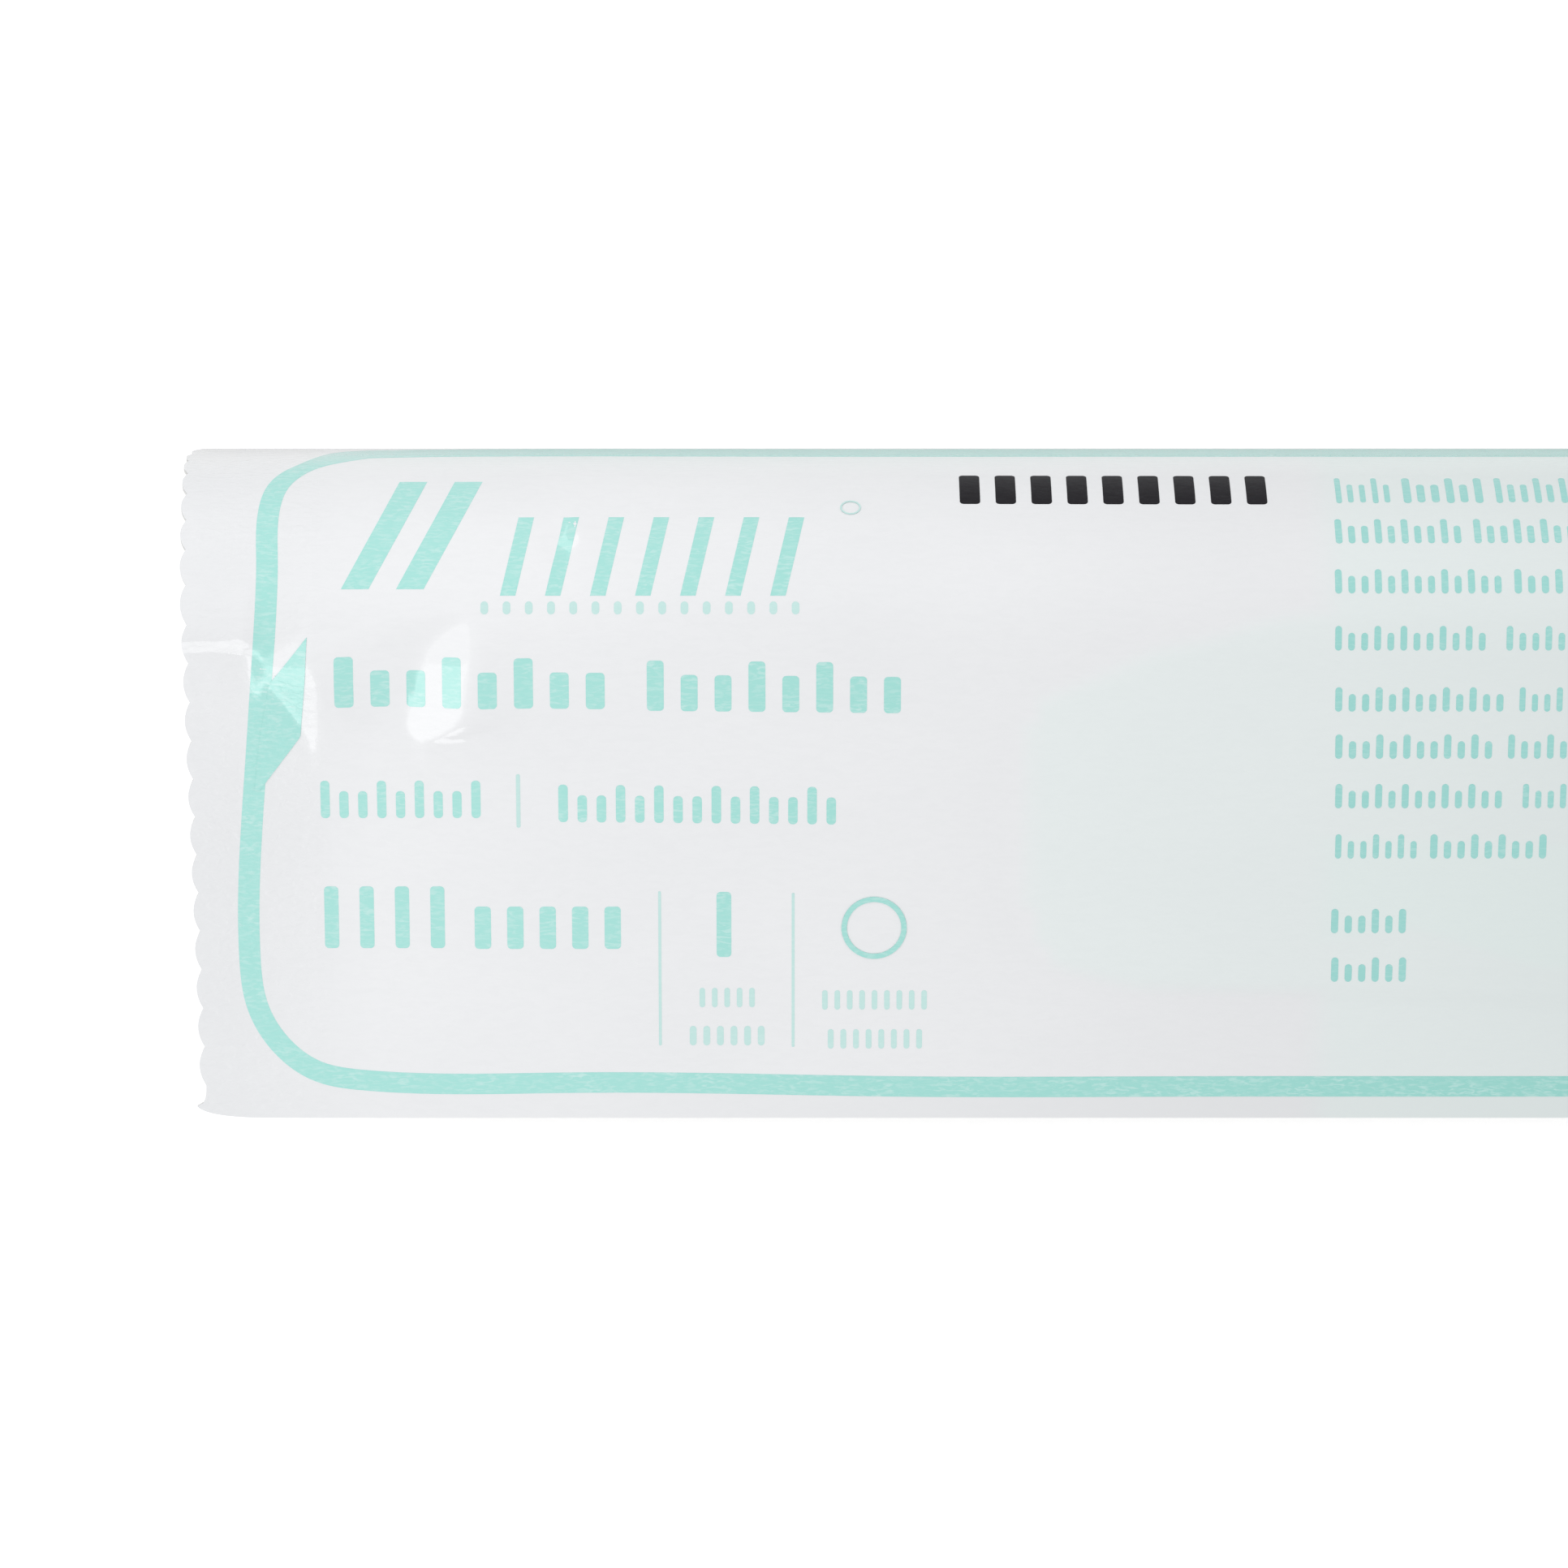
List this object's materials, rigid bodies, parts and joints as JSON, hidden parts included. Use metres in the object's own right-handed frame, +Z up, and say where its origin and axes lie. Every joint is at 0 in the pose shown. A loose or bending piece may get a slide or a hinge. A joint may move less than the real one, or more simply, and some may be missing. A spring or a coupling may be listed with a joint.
{
  "type": "sealed instrument pouch",
  "caption": "Long sealed peel pouch with a printed film face, scalloped ends and one long margin curled down to the table.",
  "frame": {"origin": "centre of the pouch's outline, on the table that it rests on", "axes": "+X along the pouch to the picture's right, +Y across it towards the margin that is bent down, +Z up out of the printed face"},
  "size_m": [0.19, 0.051, 0.0177],
  "materials": {
    "printed_film": "glossy white film with a pale green printed frame and bars",
    "back_web": "matt white fibrous nonwoven web"
  },
  "bodies": {
    "root": {"pouch": "printed_film"}
  },
  "joints": []
}
